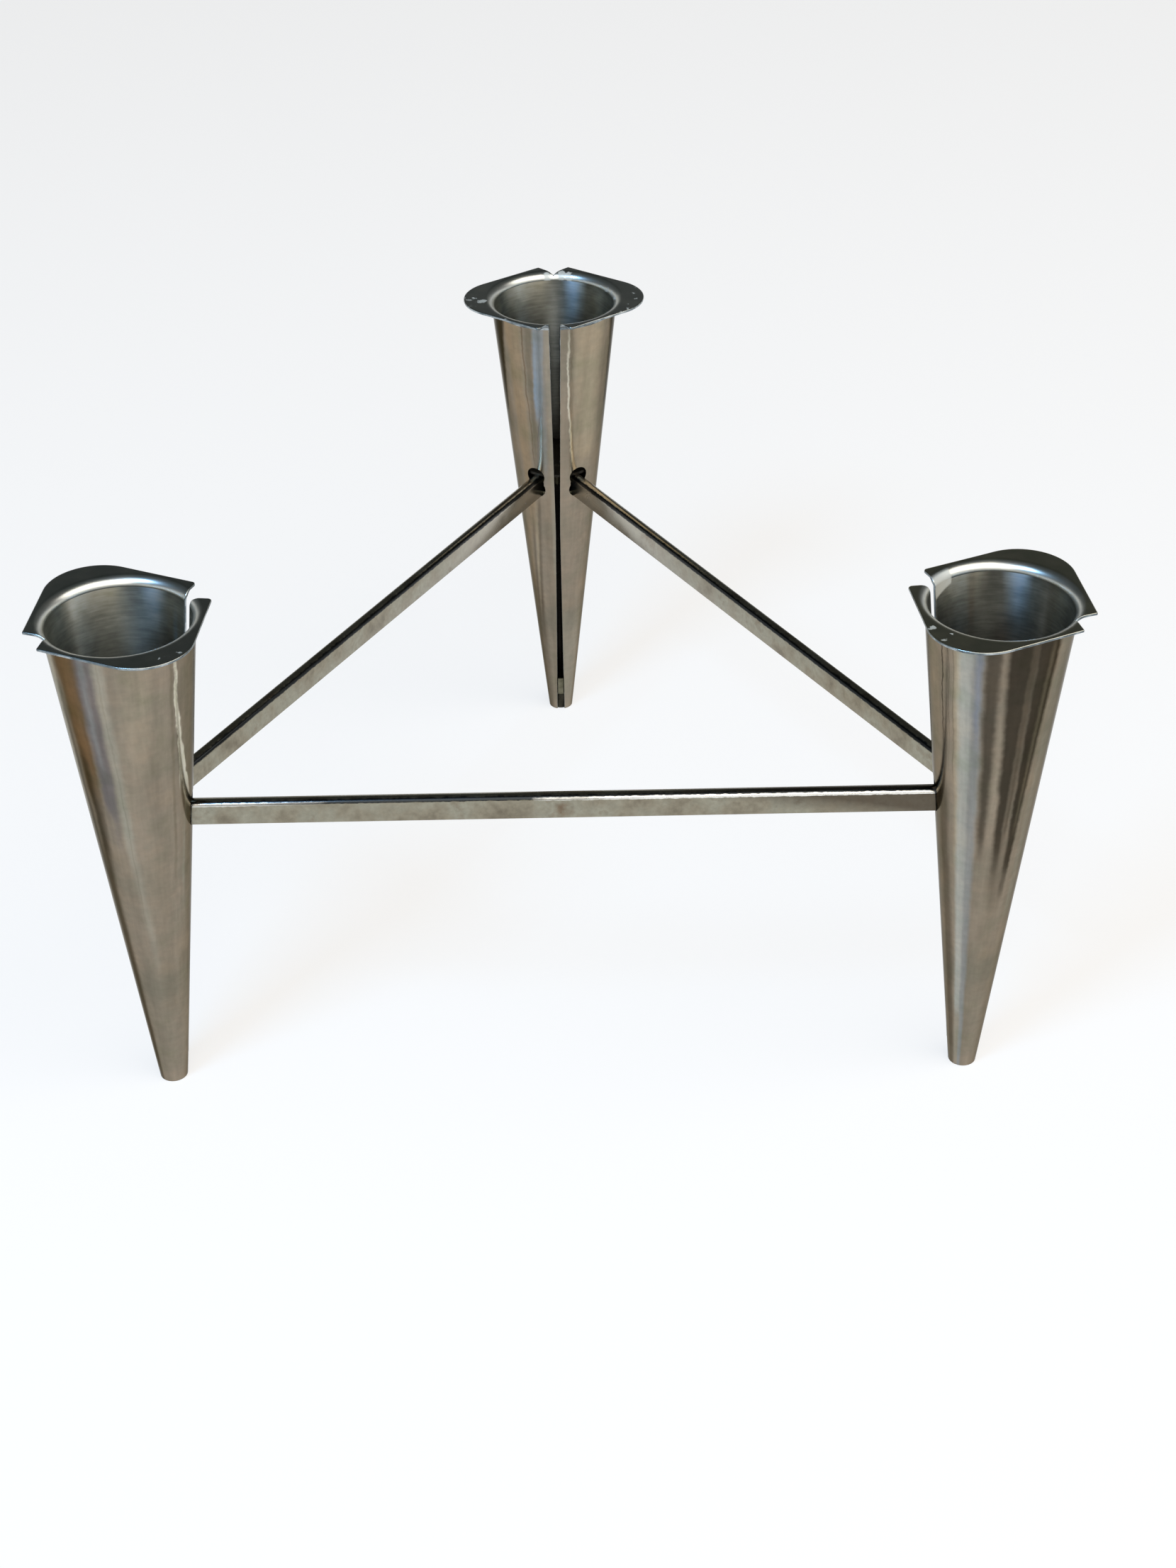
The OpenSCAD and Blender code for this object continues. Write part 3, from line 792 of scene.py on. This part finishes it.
def drill(shell, leg):
    """Cuts the two bar holes, each of three drillings along its bar."""
    for side in (-1, 1):
        for radius, height in DRILLINGS:
            deselect()
            bpy.ops.mesh.primitive_cylinder_add(vertices=DRILL_SIDES, radius=radius, depth=RIM_RADIUS)
            cutter = bpy.context.object
            lay = Matrix.Rotation(math.pi / 2, 4, "Y")
            out = Matrix.Translation((RIM_RADIUS / 2 + DRILL_START, 0, height))
            swing = Matrix.Rotation(math.pi + side * math.radians(SEAM_ANGLE), 4, "Z")
            cutter.data.transform(onto_leg(leg) @ swing @ out @ lay)
            cutter.data.materials.append(shell.data.materials[-1])
            apply_modifier(shell, "BOOLEAN", object=cutter, operation="DIFFERENCE", solver="EXACT",
                           material_mode="TRANSFER")
            bpy.data.objects.remove(cutter)


def make_shell(leg, finishes):
    """One leg: a flat grid curled into the cup side of the sheet, then thickened outwards."""
    columns = [-c for c in reversed(HALF_COLUMNS[1:])] + HALF_COLUMNS
    rows = WALL_ROWS + FLANGE_ROWS
    deselect()
    bpy.ops.mesh.primitive_grid_add(x_subdivisions=len(columns) - 1, y_subdivisions=rows)
    shell = bpy.context.object
    to_frame = onto_leg(leg)
    for index, vertex in enumerate(shell.data.vertices):
        row, column = divmod(index, len(columns))
        vertex.co = to_frame @ place_in_sheet(columns[column], row)
    open_mesh(shell)
    bpy.ops.mesh.flip_normals()
    bpy.ops.object.mode_set(mode="OBJECT")
    inside, flare, outside, edge = finishes
    for finish in (inside, flare, outside, outside, edge, edge):
        shell.data.materials.append(finish)
    for face in shell.data.polygons:
        face.material_index = int(face.center.z > BEND_START * MM)
    apply_modifier(shell, "SOLIDIFY", thickness=SHEET * MM, offset=-1, use_even_offset=True,
                   use_quality_normals=True, material_offset=2, material_offset_rim=4)
    for vertex in shell.data.vertices:
        vertex.co.z = max(vertex.co.z, 0)
    ease_edges(shell, EDGE_ROUNDING)
    drill(shell, leg)
    only(shell)
    bpy.ops.object.shade_smooth_by_angle(angle=math.radians(SMOOTH_ANGLE))
    named(shell, f"{leg}_cone_leg")
    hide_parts(f"{leg}_leg_shell")


def ease_top(bar):
    """Rounds the two long edges on top of a bar, more than its others."""
    open_mesh(bar)
    bpy.ops.mesh.select_mode(type="EDGE")
    bpy.ops.mesh.select_all(action="DESELECT")
    bpy.ops.object.mode_set(mode="OBJECT")
    top = (BAR_TOP - HAIR) * MM
    for edge in bar.data.edges:
        ends = [bar.data.vertices[i].co for i in edge.vertices]
        long = (ends[1] - ends[0]).length > LEG_SPACING * MM / 2
        edge.select = long and min(end.z for end in ends) > top
    bpy.ops.object.mode_set(mode="EDIT")
    bpy.ops.mesh.bevel(offset=BAR_TOP_ROUNDING * MM, segments=BAR_TOP_STEPS)
    bpy.ops.object.mode_set(mode="OBJECT")


def make_bar(name, start, end, finish):
    """Flat bar on edge between two legs, its ends cut on the legs' seam planes and its edges eased."""
    middle = (AXIS[start] + AXIS[end]) / 2
    along = (AXIS[end] - AXIS[start]).normalized()
    deselect()
    bpy.ops.mesh.primitive_cube_add(size=1)
    bar = bpy.context.object
    size = Matrix.Diagonal((LEG_SPACING + 4 * BAR_THICKNESS, BAR_THICKNESS, BAR_TOP - BAR_BASE, 1))
    turn = Matrix.Rotation(math.atan2(along.y, along.x), 4, "Z")
    move = Matrix.Translation((middle.x, middle.y, (BAR_TOP + BAR_BASE) / 2))
    bar.data.transform(Matrix.Scale(MM, 4) @ move @ turn @ size)
    for leg, outward in ((start, -along), (end, along)):
        inward = math.radians(LEGS[leg] + 180)
        normal = Vector((-math.sin(inward), math.cos(inward), 0))
        normal *= math.copysign(1, normal.dot(outward))
        point = Vector((AXIS[leg].x, AXIS[leg].y, 0)) - normal * MITRE_GAP / 2
        open_mesh(bar)
        bpy.ops.mesh.bisect(plane_co=point * MM, plane_no=normal, clear_outer=True, use_fill=True)
        bpy.ops.object.mode_set(mode="OBJECT")
    ease_top(bar)
    ease_edges(bar, BAR_EDGE_ROUNDING)
    bar.data.materials.append(finish)
    open_mesh(bar)
    bpy.ops.mesh.dissolve_degenerate(threshold=HAIR * MM)
    bpy.ops.object.mode_set(mode="OBJECT")
    bpy.ops.object.shade_smooth_by_angle(angle=math.radians(SMOOTH_ANGLE))
    named(bar, f"{name}_flat")
    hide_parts(name)


def dress(node, finish):
    """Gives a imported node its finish."""
    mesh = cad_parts[node].data
    mesh.materials.clear()
    mesh.materials.append(finish)


# The studio, in metres: the floor's side, and the share of its white that is its own
FLOOR_SIDE = 6
FLOOR_GLOW = 0.72

# Camera: place in millimetres, its pitch, yaw and roll in degrees, and its lens in millimetres
CAMERA_PLACE = (-1.69, -775.4, 556.0)
CAMERA_TURN = (33.825, 0.772, -0.641)
CAMERA_LENS = 61.17


def make_floor():
    """Pale floor: part of its white is its own to the eye and in the metal, and the rest takes the shadow."""
    deselect()
    bpy.ops.mesh.primitive_plane_add(size=FLOOR_SIDE, location=(0, 0, 0))
    floor = bpy.context.object
    floor.name = "floor"
    material, tree, _ = new_material("pale_matt_floor")
    rays = add(tree, "LightPath").node.outputs
    seen = rays["Is Camera Ray"]
    for ray in ("Is Glossy Ray", "Is Transmission Ray"):
        seen = add(tree, "Math", {0: seen, 1: rays[ray]}, operation="MAXIMUM")
    share = add(tree, "Math", {0: seen, 1: FLOOR_GLOW}, operation="MULTIPLY")
    lit = add(tree, "BsdfDiffuse", {"Color": "#f6f4f1"})
    own = add(tree, "Emission", {"Color": "#ffffff", "Strength": 1.0})
    add(tree, "OutputMaterial", {"Surface": add(tree, "MixShader", {0: share, 1: lit, 2: own})})
    floor.data.materials.append(material)


def make_world():
    """Studio round the object: pale up to 10 degrees above the floor's edge, dark from 18 degrees up."""
    world = bpy.data.worlds.new("studio")
    world.use_nodes = True
    tree = world.node_tree
    tree.nodes.clear()
    up = add(tree, "SeparateXYZ", {0: add(tree, "TexCoord")}).node.outputs["Z"]
    sky = add(tree, "ValToRGB", {0: up},
              ((0.0, "#f0f0ee"), (0.17, "#e4e4e1"), (0.31, "#474b4a"), (1.0, "#4a4c4b")))
    light = add(tree, "Background", {"Color": sky, "Strength": 1.0})
    add(tree, "OutputWorld", {"Surface": light})
    bpy.context.scene.world = world


def make_softbox(name, bearing, rise, distance, size, power, colour):
    """Soft lamp that faces the object from a bearing and a rise in degrees, with sizes in metres."""
    lamp = bpy.data.lights.new(name, "AREA")
    lamp.shape = "RECTANGLE"
    lamp.size, lamp.size_y = size
    lamp.energy = power
    lamp.color = linear(colour)[:3]
    holder = bpy.data.objects.new(name, lamp)
    bearing, rise = math.radians(bearing), math.radians(rise)
    out = Vector((math.cos(bearing) * math.cos(rise), math.sin(bearing) * math.cos(rise), math.sin(rise)))
    holder.location = out * distance
    holder.rotation_euler = out.to_track_quat("Z", "Y").to_euler()
    bpy.context.scene.collection.objects.link(holder)


def make_camera():
    """Camera at the photograph's viewing angle."""
    place = Vector(CAMERA_PLACE) * MM
    pitch, yaw, roll = (math.radians(angle) for angle in CAMERA_TURN)
    forward = Vector((math.sin(yaw) * math.cos(pitch), math.cos(yaw) * math.cos(pitch), -math.sin(pitch)))
    level = Vector((math.cos(yaw), -math.sin(yaw), 0))
    upright = level.cross(forward)
    right = level * math.cos(roll) + upright * math.sin(roll)
    above = right.cross(forward)
    data = bpy.data.cameras.new("camera")
    data.lens = CAMERA_LENS
    data.clip_start = 0.05
    camera = bpy.data.objects.new("camera", data)
    turn = Matrix((right, above, -forward)).transposed().to_4x4()
    camera.matrix_world = Matrix.Translation(place) @ turn
    bpy.context.scene.collection.objects.link(camera)
    bpy.context.scene.camera = camera


# The object
EDGE = sheared_edge()
for leg in LEGS:
    make_shell(leg, (brushed_inside(leg), burnished_flare(leg), satin_outside(leg), EDGE))
BAR_FINISH = drawn_bar()
make_bar("front_bar", "left", "right", BAR_FINISH)
make_bar("rear_right_bar", "right", "back", BAR_FINISH)
make_bar("rear_left_bar", "back", "left", BAR_FINISH)
PLATE, WELD, PLUG = dark_plate(), weld_metal(), dark_plug()
for leg in LEGS:
    dress(f"{leg}_candle_rest", PLATE)
    dress(f"{leg}_mitre_weld", WELD)
    dress(f"{leg}_bar_seat_welds", WELD)
    dress(f"{leg}_tip_weld", WELD)
    dress(f"{leg}_tip_plug", PLUG)

# The studio
make_floor()
make_world()
make_softbox("warm_softbox", bearing=-55, rise=48, distance=1.9, size=(3.8, 1.7), power=54,
             colour="#fff8ee")
make_softbox("blue_window", bearing=-129, rise=50, distance=1.7, size=(0.42, 0.42), power=19,
             colour="#92c2f0")
make_camera()
bpy.context.scene.view_settings.view_transform = "Standard"
